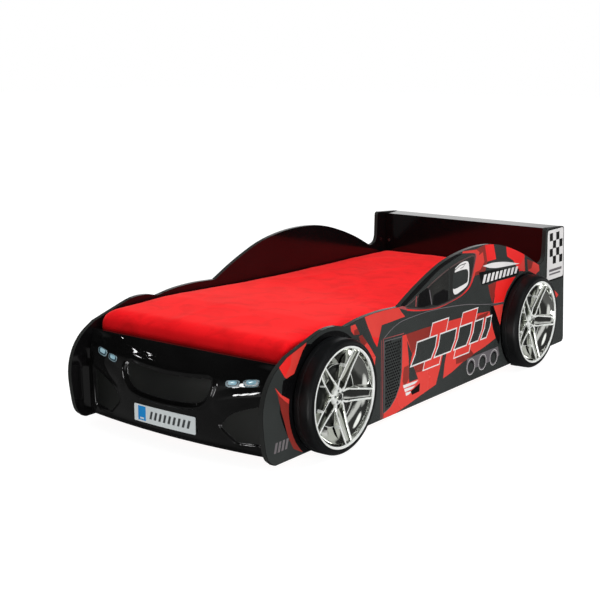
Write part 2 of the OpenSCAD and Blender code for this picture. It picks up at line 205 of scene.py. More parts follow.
def printed_sheet(outline, decals, lines=()):
    """Flat points and triangles inside the outline, with the number of the last decal that
    covers each triangle. decals is [(number, loop)], and lines are extra edges."""
    points, edges = [], []
    for loop in [outline] + [d[1] for d in decals]:
        first = len(points)
        points += [Vector(p) for p in loop]
        edges += [(first + i, first + (i + 1) % len(loop)) for i in range(len(loop))]
    for a, b in lines:
        edges.append((len(points), len(points) + 1))
        points += [Vector(a), Vector(b)]
    flat, _, faces, *_ = delaunay_2d_cdt(points, edges, [], 0, 1e-3)
    flat = np.array([tuple(p) for p in flat])
    faces = np.array([tuple(f) for f in faces])
    middle = flat[faces].mean(1)
    keep = inside(middle, list(outline))
    faces, middle = faces[keep], middle[keep]
    slots = np.zeros(len(faces), int)
    for number, loop in decals:
        slots[inside(middle, list(loop))] = number
    a, b, c = flat[faces[:, 0]], flat[faces[:, 1]], flat[faces[:, 2]]
    back = (b[:, 0] - a[:, 0]) * (c[:, 1] - a[:, 1]) < (b[:, 1] - a[:, 1]) * (c[:, 0] - a[:, 0])
    faces[back] = faces[back][:, ::-1]
    return flat, faces, slots


def open_edges(faces):
    """The faces' directed edges that no second face shares."""
    edges = {}
    for f in faces:
        for a, b in zip(f, f[1:] + f[:1]):
            edges[(a, b)] = True
    return [(a, b) for a, b in edges if (b, a) not in edges]


def sheet_solid(flat, faces, slots, place, thickness, edge_slot=0, flip=False):
    """A closed solid under a printed sheet. place(u, v, depth) gives a point of it."""
    n = len(flat)
    points = [place(u, v, 0.0) for u, v in flat] + [place(u, v, thickness) for u, v in flat]
    solid = [tuple(int(i) for i in f) for f in faces]
    rim = open_edges(solid)
    solid += [tuple(i + n for i in f[::-1]) for f in solid]
    solid += [(b, a, a + n, b + n) for a, b in rim]
    numbers = list(map(int, slots)) + [edge_slot] * (len(faces) + len(rim))
    if flip:
        solid = [f[::-1] for f in solid]
    used = sorted({i for f in solid for i in f})
    new = {i: k for k, i in enumerate(used)}
    return [points[i] for i in used], [tuple(new[i] for i in f) for f in solid], numbers


# ---- Materials ----

def rgb(red, green, blue):
    """Screen colour values from 0 to 255 as a linear colour."""
    return tuple(
        (c / 255 / 12.92 if c <= 10 else ((c / 255 + 0.055) / 1.055) ** 2.4)
        for c in (red, green, blue)) + (1.0,)


def set_inputs(tree, node, values):
    """Gives a node's inputs their values. A value that is another node's output is linked."""
    for key, value in values.items():
        if isinstance(value, bpy.types.NodeSocket):
            tree.links.new(value, node.inputs[key])
        else:
            node.inputs[key].default_value = value


def add_node(tree, kind, values, **settings):
    """A new shader node, with its settings and the values of its inputs."""
    node = tree.nodes.new("ShaderNode" + kind)
    for key, value in settings.items():
        setattr(node, key, value)
    set_inputs(tree, node, values)
    return node


def map_range(tree, value, before, after):
    """The value moved from one range to another, and held between its ends."""
    node = add_node(tree, "MapRange", {
        "Value": value, "From Min": before[0], "From Max": before[1],
        "To Min": after[0], "To Max": after[1]})
    return node.outputs["Result"]


def color_ramp(tree, value, stops):
    """A colour for the value, from stops given as pairs of position and colour."""
    node = add_node(tree, "ValToRGB", {"Fac": value})
    elements = node.color_ramp.elements
    for i, (at, colour) in enumerate(stops):
        stop = elements[i] if i < 2 else elements.new(at)
        stop.position = at
        stop.color = colour
    return node.outputs["Color"]


def set_shader(m, values):
    """Gives a material's main shader its values."""
    set_inputs(m.node_tree, m.node_tree.nodes["Principled BSDF"], values)


def mix_over_base(m, factor, colour, blend="MIX"):
    """Mixes a colour over the base colour that material() gave."""
    base = m.node_tree.nodes["Color Ramp"].outputs["Color"]
    mix = add_node(m.node_tree, "Mix", {"Factor": factor, "A": base, "B": colour},
                   data_type="RGBA", blend_type=blend)
    set_shader(m, {"Base Color": mix.outputs["Result"]})


def material(name, colour, other, rough, metallic=0.0, patch=5.0, stretch=(1, 1, 1),
             spread=0.06, grain=260.0, bump=0.08, coat=0.0, sheen=0.0, specular=0.5):
    """A finish of two close tones in soft patches, with uneven gloss and a fine grain."""
    m = bpy.data.materials.new(name)
    m.use_nodes = True
    m.diffuse_color = colour
    tree = m.node_tree
    where = add_node(tree, "TexCoord", {}).outputs["Object"]
    scaled = add_node(tree, "Mapping", {"Vector": where, "Scale": stretch}).outputs["Vector"]
    patches = add_node(tree, "TexNoise", {"Vector": scaled, "Scale": patch, "Detail": 5.0})
    tone = patches.outputs["Fac"]
    fine = add_node(tree, "TexNoise", {"Vector": scaled, "Scale": grain, "Detail": 3.0})
    relief = add_node(tree, "Bump", {
        "Height": fine.outputs["Fac"], "Strength": bump, "Distance": 0.0006})
    gloss = (max(rough - spread, 0.02), rough + spread)
    set_shader(m, {
        "Base Color": color_ramp(tree, tone, ((0.35, colour), (0.68, other))),
        "Roughness": map_range(tree, tone, (0, 1), gloss),
        "Normal": relief.outputs["Normal"], "Metallic": metallic,
        "Specular IOR Level": specular, "Coat Weight": coat, "Coat Roughness": 0.06,
        "Sheen Weight": sheen})
    return m


def velour():
    """Short-pile velour: brushed streaks of nap, a soft sheen and a fine pile."""
    m = material("velour_red", rgb(214, 8, 18), rgb(224, 14, 22), 0.85, patch=2.6,
                 stretch=(1, 0.45, 1), grain=420.0, bump=0.35, sheen=0.9, specular=0.1)
    tree = m.node_tree
    set_shader(m, {"Sheen Roughness": 0.3, "Sheen Tint": rgb(255, 112, 104)})
    where = tree.nodes["Texture Coordinate"].outputs["Object"]
    nap = add_node(tree, "TexNoise",
                   {"Vector": where, "Scale": 9.0, "Detail": 8.0, "Distortion": 1.2})
    shade = color_ramp(tree, nap.outputs["Fac"],
                       ((0.3, (0.80, 0.70, 0.70, 1)), (0.55, (1, 1, 1, 1))))
    mix_over_base(m, 1.0, shade, "MULTIPLY")
    return m


def wood():
    """Planed pine: long grain bands with darker late wood."""
    m = material("pine", rgb(214, 178, 128), rgb(196, 154, 102), 0.55, patch=4.0,
                 stretch=(0.35, 6, 6), grain=90.0, bump=0.2)
    scaled = m.node_tree.nodes["Mapping"].outputs["Vector"]
    rings = add_node(m.node_tree, "TexWave",
                     {"Vector": scaled, "Scale": 3.0, "Distortion": 6.0, "Detail": 3.0})
    late_wood = map_range(m.node_tree, rings.outputs["Fac"], (0, 1), (0, 0.35))
    mix_over_base(m, late_wood, rgb(168, 120, 72))
    return m


def black_board(name, specular=0.28):
    """Gloss black board, mirroring less than the moulded parts."""
    return material(name, rgb(9, 9, 10), rgb(13, 12, 13), 0.12, spread=0.03, grain=40.0,
                    bump=0.03, specular=specular)


def edged_board():
    """The side boards: gloss black faces, and a charcoal edge band round them."""
    face_shine, edge_shine = 0.28, 0.03
    m = black_board("side_board_black", face_shine)
    tree = m.node_tree
    normal = tree.nodes["Texture Coordinate"].outputs["Normal"]
    axes = add_node(tree, "SeparateXYZ", {"Vector": normal})
    sideways = add_node(tree, "Math", {0: axes.outputs["X"]}, operation="ABSOLUTE")
    band = map_range(tree, sideways.outputs["Value"], (0.6, 0.8), (1, 0))
    mix_over_base(m, band, rgb(42, 43, 42))
    shine = map_range(tree, band, (0, 1), (face_shine, edge_shine))
    set_shader(m, {"Specular IOR Level": shine})
    return m


GLOSS_BLACK = black_board("gloss_black_board")
SIDE_BLACK = edged_board()
MOULDED_BLACK = material("moulded_gloss", rgb(9, 9, 9), rgb(13, 13, 13), 0.045, spread=0.015,
                         patch=7.0, grain=60.0, bump=0.02)
RECESS_BLACK = material("moulded_satin", rgb(18, 19, 18), rgb(24, 25, 23), 0.4, grain=600.0,
                        bump=0.2, specular=0.22)
TYRE_BLACK = material("tyre_black", rgb(11, 12, 13), rgb(17, 18, 19), 0.4, grain=420.0,
                      bump=0.16, specular=0.22)
CHROME = material("chrome", rgb(216, 217, 212), rgb(200, 203, 197), 0.06, metallic=1.0,
                  spread=0.03, patch=14.0, grain=42.0, bump=0.45)
# Near-white satin for the rim's crests, lip, ring and hub: painted highlight standing in for
# mirrored light.
CHROME_PAINTED_HIGHLIGHT = material("chrome_painted_highlight", rgb(240, 242, 238), rgb(230, 233, 230), 0.3, metallic=0.2,
                       patch=40.0)
DISC_STEEL = material("brake_disc", rgb(26, 28, 27), rgb(40, 42, 40), 0.35, metallic=0.4,
                      patch=20.0)
HOLLOW_BLACK = material("wheel_hollow", rgb(9, 9, 9), rgb(14, 14, 14), 0.5)
STEEL = material("zinc_steel", rgb(176, 178, 178), rgb(150, 152, 152), 0.32, metallic=1.0,
                 patch=60.0)
PLASTIC = material("foot_plastic", rgb(20, 20, 21), rgb(28, 28, 28), 0.45, grain=700.0)
BEECH = material("dowel_beech", rgb(206, 166, 120), rgb(190, 148, 100), 0.6, patch=30.0)
WEBBING = material("webbing", rgb(226, 224, 216), rgb(206, 204, 196), 0.8, grain=900.0,
                   bump=0.5)
PINE = wood()
VELOUR = velour()
PLATE_WHITE = material("plate_white", rgb(212, 218, 218), rgb(204, 211, 212), 0.3, patch=9.0)
PLATE_BLUE = material("plate_blue", rgb(0, 138, 208), rgb(0, 124, 196), 0.4, specular=0.15)
PLATE_INK = material("plate_ink", rgb(52, 56, 58), rgb(62, 66, 68), 0.35)
LENS = material("headlight_lens", rgb(132, 184, 204), rgb(186, 220, 230), 0.14, patch=34.0,
                coat=0.3)
LENS_LINE = material("headlight_line", rgb(104, 128, 138), rgb(134, 156, 162), 0.25, patch=50.0)
LENS_RIM = material("headlight_rim", rgb(14, 44, 58), rgb(24, 58, 72), 0.2, patch=50.0)


def print_ink(name, colour, other, rough=0.26, patch=3.0, coat=0.2):
    """One of the printed film's colours."""
    return material(f"print_{name}", colour, other, rough, patch=patch, coat=coat)


# The printed film. The first entry is its ground colour.
PRINT = [
    print_ink("charcoal", rgb(46, 49, 48), rgb(54, 57, 56), 0.24),
    print_ink("red", rgb(206, 52, 44), rgb(222, 64, 56), patch=2.4),
    print_ink("bright", rgb(224, 24, 24), rgb(236, 40, 36), patch=2.4),
    print_ink("brick", rgb(128, 38, 32), rgb(146, 48, 40)),
    print_ink("black", rgb(7, 7, 8), rgb(11, 11, 12), 0.24),
    print_ink("white", rgb(216, 214, 214), rgb(226, 224, 222), patch=5.0),
    print_ink("grey", rgb(96, 92, 96), rgb(112, 106, 108), patch=6.0),
    print_ink("glass", rgb(38, 38, 37), rgb(54, 55, 52), 0.2, coat=0.3),
    print_ink("rose", rgb(150, 66, 68), rgb(166, 78, 78), patch=6.0),
    print_ink("trim", rgb(70, 54, 54), rgb(92, 74, 72), patch=6.0),
]
CHARCOAL, RED, BRIGHT, BRICK, BLACK, WHITE, GREY, GLASS, ROSE, TRIM = range(10)

# ---- Camera, light and floor ----

CAMERA_UP, CAMERA_ROUND = 11.82, 37.27  # degrees above level and round from the front
camera_data = bpy.data.cameras.new("camera")
camera_data.lens = 71.6
camera_data.sensor_width = 36.0
camera = add_object("camera", camera_data)
camera.location = (2.855, -4.078, 1.401)
camera.rotation_euler = (math.radians(90 - CAMERA_UP), 0, math.radians(CAMERA_ROUND))
SCENE.camera = camera
SCENE.view_settings.view_transform = "Standard"


def softbox(name, place, aim, width, height, power, mirrored=True):
    """A rectangular lamp that the camera doesn't see, and that gloss mirrors or not."""
    data = bpy.data.lights.new(name, "AREA")
    data.shape = "RECTANGLE"
    data.size, data.size_y, data.energy = width, height, power
    obj = add_object(name, data)
    obj.location = place
    direction = Vector(aim) - Vector(place)
    obj.rotation_euler = direction.to_track_quat("-Z", "Y").to_euler()
    obj.visible_camera = False
    obj.visible_glossy = mirrored


softbox("overhead", (0.3, 0.3, 3.6), (0, 0.1, 0.3), 2.6, 2.8, 150, mirrored=False)
softbox("side_fill", (5.5, -0.6, 1.6), (0.5, -0.2, 0.3), 2.4, 2.0, 88, mirrored=False)
# Small lamps high on the left of the picture, by place, width and power.
LEFT_LAMPS = [((-3.95, -2.25, 3.4), 0.16, 0.9), ((-3.64, -2.05, 3.62), 0.06, 0.2)]
for k, (place, size, power) in enumerate(LEFT_LAMPS):
    softbox(f"left_lamp_{k}", place, (-0.15, -1.0, 0.3), size, size * 0.6, power)
# Three upright lamps in front of the nose.
for k, shift in enumerate((-0.26, 0.0, 0.24)):
    softbox(f"front_lamp_{k}", (-1.05 + shift, -5.8, 1.15 + shift * 0.2), (0.33, -1.06, 0.24),
            0.19, 0.48, 8.0)

world = bpy.data.worlds.new("studio")
SCENE.world = world
world.use_nodes = True
sky = world.node_tree
sky.nodes.clear()
heading = add_node(sky, "TexCoord", {}).outputs["Generated"]
parts = add_node(sky, "SeparateXYZ", {"Vector": heading}).outputs


def bright_patch(direction, edge, middle, level):
    """How brightly a round patch of the studio, in one direction, is mirrored."""
    near = add_node(sky, "VectorMath", {0: heading, 1: Vector(direction).normalized()},
                    operation="DOT_PRODUCT")
    return map_range(sky, near.outputs["Value"], (edge, middle), (0, level))


def combined(operation, first, second):
    return add_node(sky, "Math", {0: first, 1: second}, operation=operation).outputs["Value"]


def backdrop(level, strength=1.0):
    """A plain grey background of one level."""
    node = add_node(sky, "Background",
                    {"Color": (level, level, level, 1), "Strength": strength})
    return node.outputs["Background"]


def chosen(ray, other, chosen_for_ray):
    """One background for one kind of ray, and another for the rest."""
    kind = add_node(sky, "LightPath", {}).outputs[ray]
    node = add_node(sky, "MixShader", {"Fac": kind, 1: other, 2: chosen_for_ray})
    return node.outputs["Shader"]


# What gloss mirrors: bright and dark bands by height, dimmed towards -X, and bright patches.
# Each patch has a direction, the cosines at its edge and middle, and a level.
BANDS = [(0.0, 0.13), (0.25, 0.16), (0.30, 0.04), (0.44, 0.04), (0.475, 0.8), (0.545, 0.8),
         (0.575, 0.05), (1.0, 0.04)]
PATCHES = (((0.85, -0.5, -0.2), 0.86, 0.94, 1.0), ((0.73, -0.14, 0.64), 0.95, 0.975, 1.4),
           ((0.28, -0.94, -0.25), 0.975, 0.99, 9.0), ((-0.66, -0.7, -0.3), 0.7, 0.9, 0.14),
           ((-0.6, 0.77, 0.22), 0.95, 0.98, 1.1))
bands = color_ramp(sky, map_range(sky, parts["Z"], (-1, 1), (0, 1)),
                   [(at, (level, level, level, 1)) for at, level in BANDS])
mirror_level = combined(
    "MULTIPLY", bands, map_range(sky, parts["X"], (-0.5, 0.1), (0.12, 1)))
for spot in PATCHES:
    mirror_level = combined("MAXIMUM", mirror_level, bright_patch(*spot))
soft = backdrop(0.6, map_range(sky, parts["Y"], (-1, 0.2), (0.1, 1)))
lit = chosen("Is Glossy Ray", soft, backdrop(1.0, mirror_level))
add_node(sky, "OutputWorld", {"Surface": chosen("Is Camera Ray", lit, backdrop(1.0))})

pale = material("studio_floor", (0.2, 0.2, 0.2, 1), (0.22, 0.22, 0.22, 1), 0.9, patch=0.5)
set_shader(pale, {"Emission Color": (1, 1, 1, 1), "Emission Strength": 0.93})
FLOOR_SIZE = 30.0
corners = [(x * FLOOR_SIZE, y * FLOOR_SIZE, 0) for x, y in ((-1, -1), (1, -1), (1, 1), (-1, 1))]
floor = piece("studio_floor", corners, [(0, 1, 2, 3)], [pale], body=None)
floor.visible_glossy = False

# ---- Finishes of the frame's own pieces ----

FINISH = {
    "side_board": SIDE_BLACK, "graphic_film": PRINT[RED], "cross_board": GLOSS_BLACK,
    "rail_wood": PINE, "slat_wood": PINE, "webbing": WEBBING, "foot_plastic": PLASTIC,
    "tyre_plastic": TYRE_BLACK, "rim_chrome": CHROME, "fixing_steel": STEEL,
    "dowel_wood": BEECH, "bumper_gloss": MOULDED_BLACK, "plate_white": PLATE_WHITE,
    "lens_blue": LENS, "foam": WEBBING, "velour": VELOUR,
}
# How far the edges are rounded, in millimetres.
ROUNDED = {"side_board": 1.2, "cross_board": 1.0, "rail_wood": 2.0, "slat_wood": 3.0,
           "foot_plastic": 1.5, "rim_chrome": 0.8}
for part in frame["record"]["subparts"]:
    obj, kind = frame["nodes"][part["node"]], part["material_slot"]
    obj.data.materials.clear()
    obj.data.materials.append(FINISH[kind])
    if kind in ROUNDED:
        weld = obj.modifiers.new("weld", "WELD")
        weld.merge_threshold = 1e-5
        bevel = obj.modifiers.new("eased_edges", "BEVEL")
        bevel.width = ROUNDED[kind] * MM
        bevel.segments = 2
        bevel.limit_method = "ANGLE"
        bevel.angle_limit = math.radians(50)

# ---- The side boards' printed film ----

ARCH_R = 228
FRONT_AXLE, REAR_AXLE, AXLE_HEIGHT = 370, 1865, 181


def board_outline():
    """The film's outline, in stations and heights, from its CAD solid."""
    mesh = frame["nodes"]["left_graphic_film"].data
    faces = [p for p in mesh.polygons if p.normal.x > 0.9]
    key = {v.index: (round(v.co.y, 6), round(v.co.z, 6)) for v in mesh.vertices}
    rim = dict(open_edges([[key[i] for i in p.vertices] for p in faces]))
    loops = []
    while rim:
        start = next(iter(rim))
        loop, here = [], start
        while here in rim:
            loop.append(here)
            here = rim.pop(here)
        loops.append(loop)
    longest = max(loops, key=len)
    return [((y - BOARD_LOW.y) / MM, (z - BOARD_LOW.z) / MM) for y, z in longest]


def vent_mesh():
    """Dark slots in staggered rows inside the grey vent."""
    vent = [(728, 302), (848, 297), (848, 160), (836, 104), (808, 64), (772, 36), (732, 24)]
    row_step, slot_step = 11.5, 15.5
    slots = []
    for r in range(24):
        z = 296 - r * row_step
        for c in range(8):
            s = 736 + c * slot_step + (r % 2) * slot_step / 2
            slot = [(s - 6, z - 1.5), (s - 3, z - 4.5), (s + 5, z - 3.2), (s + 6.5, z + 0.8),
                    (s + 3.5, z + 3.8), (s - 4.5, z + 2.6)]
            if inside(np.array(slot), vent).all():
                slots.append((BLACK, slot))
    return [(GREY, offset(vent, 2.5)), (CHARCOAL, vent)] + slots


def outlined(colour, loop, width=5.5):
    """A loop in one colour with a white outline."""
    return [(WHITE, offset(loop, width)), (colour, loop)]


def slanted(front, back, low, high, lean):
    """A leaning four-sided bar between two stations at its foot."""
    return [(front, low), (back, low), (back + lean, high), (front + lean, high)]


def speed_bars():
    """Leaning bars with arrowed tails, in place of the lettering on the door."""
    decals = []
    for front, back in ((920, 1066), (1096, 1222), (1252, 1350), (1380, 1450), (1478, 1522)):
        loop = [(front, 168), (back, 168), (back + 30, 208), (back + 42, 252),
                (front + 42, 252), (front + 30, 208)]
        decals += outlined(CHARCOAL, loop)
    return decals


def number_panel():
    """A white panel with a chequered field and two plain bars, in place of a number."""
    panel = [(2084, 552), (2092, 560), (2240, 560), (2249, 552), (2266, 334), (2260, 325),
             (2100, 325), (2093, 332)]
    wide, tall, squares = 34, 37, 4

    def corner(column, row):
        z = 545 - row * tall
        return 2104 + column * wide + (552 - z) * 0.075, z

    decals = [(BLACK, offset(panel, 8)), (WHITE, panel)]
    for r in range(squares):
        for c in range(r % 2, squares, 2):
            decals.append((BLACK, [corner(c, r + 1), corner(c + 1, r + 1),
                                   corner(c + 1, r), corner(c, r)]))
    decals.append((GREY, [(2114, 374), (2246, 374), (2247, 362), (2115, 362)]))
    decals.append((GREY, [(2116, 354), (2234, 354), (2235, 346), (2117, 346)]))
    return decals


WINDOW = (
    catmull([(874, 412), (900, 403), (1000, 384), (1100, 374), (1200, 379), (1300, 394),
             (1356, 420)], 5)
    + catmull([(1370, 440), (1392, 500), (1396, 535)], 4)
    + catmull([(1376, 538), (1290, 528), (1200, 512), (1100, 484), (1000, 448), (920, 422)], 5)
)
HELMET = catmull([(1242, 508), (1290, 524), (1332, 525), (1354, 508), (1358, 448),
                  (1342, 420), (1296, 406), (1250, 398), (1232, 410), (1228, 432)], 4)
VISOR = catmull([(1226, 490), (1300, 493), (1345, 486), (1349, 446), (1334, 433),
                 (1246, 422), (1224, 430)], 4)
SHUT_LINE = catmull([(722, 316), (760, 335), (800, 350), (860, 361), (1000, 365),
                     (1100, 362), (1200, 355), (1340, 341), (1450, 323), (1560, 306),
                     (1670, 296)], 4)

# The livery, painted in this order: pairs of a colour and a loop of stations and heights.
LIVERY = [
    # Nose
    (BRIGHT, [(88, 338), (90, 400), (165, 400), (150, 335), (118, 298)]),
    (RED, [(165, 400), (240, 400), (237, 388), (217, 370), (197, 340), (170, 300),
           (128, 292), (118, 298), (150, 335)]),
    # Black on the nose side of the front wheel: the printed wheel arch, widened up and forwards
    # by painted shadow of the tyre.
    (BLACK, [(240, 390), (217, 370), (197, 340), (170, 300), (128, 292), (111, 289),
             (104, 270), (102, 240), (143, 216), (150, 170), (165, 140), (300, 181),
             (330, 370)]),
    (BRICK, [(65, 274), (102, 240), (143, 216), (150, 170), (158, 105), (200, 50), (252, 8),
             (212, 10), (166, 34), (136, 84), (116, 140), (96, 190), (82, 240)]),
    (RED, [(65, 274), (102, 240), (143, 216), (146, 196), (118, 216), (90, 240)]),
    (BLACK, [(92, 214), (96, 190), (116, 140), (136, 84), (150, 62), (128, 96), (106, 140),
             (90, 182)]),
    # Black arch round the front wheel, set a little forward of the axle: the printed wheel arch
    # with painted shadow of the tyre.
    (BLACK, circle((FRONT_AXLE - 2, AXLE_HEIGHT), ARCH_R, 72)),
    # Behind the front wheel
    (RED, [(503, 404), (532, 406), (562, 362), (526, 366), (506, 384)]),
    (BRICK, [(526, 384), (545, 386), (562, 362), (526, 366)]),
    (RED, [(556, 356), (576, 358), (626, 306), (668, 256), (662, 224), (636, 250), (596, 306),
           (566, 332)]),
    (BRICK, [(556, 356), (576, 358), (610, 322), (590, 314), (566, 332)]),
    (RED, [(590, 424), (815, 424), (842, 396), (868, 374), (706, 370), (696, 342), (677, 292),
           (656, 316), (612, 384)]),
    (BRIGHT, [(640, 340), (668, 330), (690, 326), (677, 292), (656, 316)]),
    # Door
    (RED, [(852, 302), (1000, 302), (1200, 296), (1400, 288), (1545, 277), (1582, 193),
           (1610, 146), (1505, 125), (1388, 111), (1312, 94), (1240, 74), (1167, 62),
           (1110, 49), (1000, 32), (900, 15), (810, 1), (725, 1), (728, 24), (772, 36),
           (812, 64), (840, 104), (852, 160)]),
    (BRICK, [(878, 302), (1000, 302), (1200, 296), (1160, 255), (1090, 262), (1040, 240),
             (960, 240), (925, 212)]),
    (BRICK, [(866, 172), (900, 176), (905, 120), (872, 90), (858, 120)]),
    (BRICK, [(935, 180), (1090, 184), (1010, 128), (950, 132)]),
    (BRICK, [(1266, 150), (1380, 146), (1420, 112), (1340, 98), (1270, 100)]),
    (BRICK, [(1390, 240), (1450, 274), (1545, 277), (1500, 250), (1440, 236)]),
    (CHARCOAL, [(885, 276), (926, 212), (910, 176), (938, 160), (972, 104), (906, 104),
                (900, 200)]),
    (CHARCOAL, [(1110, 49), (1167, 62), (1176, 120), (1190, 166), (1160, 164), (1134, 100)]),
    (BLACK, [(1549, 296), (1592, 296), (1654, 196), (1646, 104), (1612, 146), (1582, 193)]),
    # Rear quarter
    (BRICK, [(1526, 394), (1600, 398), (1590, 340), (1568, 308), (1546, 346)]),
    (BRIGHT, [(1600, 398), (1776, 394), (1730, 364), (1698, 338), (1671, 296), (1580, 302),
              (1590, 340), (1586, 352)]),
    (RED, [(1582, 294), (1668, 288), (1658, 230), (1646, 196)]),
    (BRICK, [(1398, 562), (1486, 574), (1514, 498), (1492, 452), (1396, 452), (1420, 500)]),
    (BRIGHT, [(1484, 578), (1560, 572), (1590, 498), (1512, 498)]),
    (RED, [(1425, 530), (1470, 545), (1486, 500), (1452, 470), (1404, 466)]),
    (BRIGHT, [(1676, 550), (1738, 530), (1800, 508), (1852, 482), (1868, 406), (1810, 414),
              (1748, 470), (1690, 496)]),
    (RED, [(1860, 470), (1852, 482), (1868, 406), (1852, 406), (1800, 430), (1830, 450)]),
    (RED, [(1884, 456), (1944, 438), (2004, 414), (2012, 386), (1974, 374), (1896, 404)]),
    (BRICK, [(1884, 456), (1944, 438), (1930, 410), (1896, 404)]),
    # Black arch round the rear wheel: the printed wheel arch with painted shadow of the tyre.
    (BLACK, circle((REAR_AXLE + 2, AXLE_HEIGHT), ARCH_R - 10, 72)),
    (RED, [(2136, 276), (2176, 270), (2226, 240), (2208, 228), (2170, 240)]),
]
LIVERY += [
    # Window, its red trim and the helmet behind the glass
    (ROSE, catmull([(812, 419), (852, 405), (910, 388), (1000, 373), (1110, 365),
                    (1200, 371), (1300, 384), (1362, 406)], 5)
     + catmull([(1392, 432), (1424, 505), (1430, 540), (1410, 556), (1300, 570)], 4)
     + catmull([(1300, 562), (1396, 548), (1408, 530), (1396, 492), (1370, 440)], 4)
     + catmull([(1350, 416), (1300, 394), (1200, 380), (1110, 374), (1000, 384), (910, 400),
                (862, 418)], 5)),
    (BRIGHT, stroke(catmull([(880, 398), (1000, 378), (1110, 369), (1200, 375), (1300, 388),
                             (1364, 412), (1392, 450), (1416, 520)], 5), 7)),
    (RED, [(1388, 448), (1400, 444), (1428, 500), (1440, 548), (1416, 562), (1300, 570),
           (1296, 562), (1404, 550), (1418, 538), (1408, 500)]),
    (BLACK, catmull([(818, 428), (900, 458), (960, 486), (1125, 548), (1200, 566)], 4)
     + catmull([(1300, 560), (1200, 540), (1100, 514), (1000, 472), (920, 438), (862, 414)], 4)),
    (TRIM, offset(WINDOW, 6)),
    (GLASS, WINDOW),
    (BLACK, [(966, 446), (1028, 462), (1046, 436), (1058, 388), (1000, 388), (958, 396)]),
    (BLACK, [(1070, 384), (1110, 378), (1200, 382), (1196, 420), (1150, 436), (1076, 424)]),
    (ROSE, stroke([(948, 440), (944, 400)], 6)),
    (GREY, stroke([(1044, 450), (1054, 420), (1064, 388)], 6)),
    (CHARCOAL, stroke([(1196, 530), (1196, 386)], 8)),
    (WHITE, HELMET),
    (CHARCOAL, VISOR),
    (CHARCOAL, stroke([(1240, 500), (1280, 514), (1330, 516)], 3.5)),
    (CHARCOAL, stroke([(1284, 500), (1306, 504), (1322, 514)], 2.5)),
    (GREY, stroke(SHUT_LINE, 3.0)),
    (ROSE, stroke([(718, 2), (718, 314), (862, 309)], 4.0)),
    (ROSE, stroke([(709, 4), (706, 312)], 2.5)),
    (GREY, stroke(catmull([(1560, 300), (1620, 294), (1672, 290)], 3), 2)),
    # Exhausts on their band
    (GREY, [(1356, 62), (1364, 104), (1634, 104), (1648, 62), (1620, 50), (1380, 50)]),
]
for station in (1397, 1497, 1598):
    LIVERY += [(WHITE, circle((station, 62), 35)), (GREY, circle((station, 62), 33)),
               (BLACK, circle((station, 62), 26)), (CHARCOAL, circle((station - 2, 60), 21))]
LIVERY += vent_mesh()
# Two leaning bars behind the row of speed bars
for front in (1010, 1252):
    LIVERY += outlined(RED, slanted(front, front + 122, 132, 308, 66), 4.5)
LIVERY += speed_bars()
# Door badge, shoulder stripes and nose badge: plain stripes in place of the marks
for k in range(3):
    LIVERY.append((WHITE, [(862 + 9 * k, 102 - 17 * k), (975 - 22 * k, 98 - 17 * k),
                           (950 - 22 * k, 89 - 17 * k), (868 + 9 * k, 88 - 17 * k)]))
LIVERY.append((BLACK, [(918, 64), (988, 84), (984, 50), (930, 48)]))
LIVERY += [
    (WHITE, catmull([(1474, 484), (1560, 486), (1680, 473), (1810, 447)], 4)
     + catmull([(1700, 452), (1600, 458), (1530, 468)], 4)),
    (BLACK, [(1440, 462), (1560, 456), (1700, 440), (1812, 424), (1800, 398), (1470, 402)]),
]
for k in range(9):
    LIVERY.append((WHITE, slanted(1474 + 36 * k, 1496 + 36 * k, 408, 444 - 0.8 * k, 14)))
for k in range(4):
    LIVERY.append((GREY, slanted(58 + 20 * k, 70 + 20 * k, 44, 80, 10)))
LIVERY += number_panel()


def film(name, side, node):
    """One side's printed film, cut from the livery."""
    inset, lift = 0.8, 0.0003
    flat, faces, slots = printed_sheet(offset(board_outline(), -inset), LIVERY)

    def place(station, height, thickness):
        return (side * (FILM_HIGH.x + lift - thickness), along(station), up(height))

    points, solid, numbers = sheet_solid(
        flat, faces, slots, place, FILM_HIGH.x - FILM_LOW.x + lift, BLACK, side < 0)
    obj = piece(name, points, solid, PRINT, numbers, sharp=30)
    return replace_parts(obj, node)


film("printed_film_left", 1, "left_graphic_film")
film("printed_film_right", -1, "right_graphic_film")

# ---- Front bumper ----

# Height, station at the ends, and how far the middle bows forwards.
BUMPER_FACE = [
    (335, 118, 0), (318, 110, 18), (296, 104, 38), (268, 100, 60), (220, 97, 72),
    (150, 97, 75), (80, 98, 74), (40, 99, 66), (18, 101, 52), (5, 108, 36),
]
BUMPER_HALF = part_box("front_bumper")[1].x / MM
BUMPER_BACK = (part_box("front_bumper")[1].y - BOARD_LOW.y) / MM
GRID = 3.0
WALL = 3.5
FLANGE_ROWS = 6

HALF_GRILLE = (
    catmull([(0, 258), (100, 262), (188, 269)], 5)
    + catmull([(204, 262), (210, 244), (204, 214), (186, 186), (156, 166), (100, 157),
               (0, 153)], 5))
GRILLE = HALF_GRILLE + [(-x, z) for x, z in HALF_GRILLE[::-1] if x > 0.01]
FOG = catmull([(244, 106), (262, 134), (296, 160), (345, 180)], 4) + [
    (408, 198), (413, 190), (414, 60), (408, 50), (318, 46), (304, 48)] + catmull(
    [(292, 58), (268, 78), (250, 94)], 3)
BROW = [(238, 186), (300, 206), (404, 226), (404, 220), (300, 199), (242, 178)]


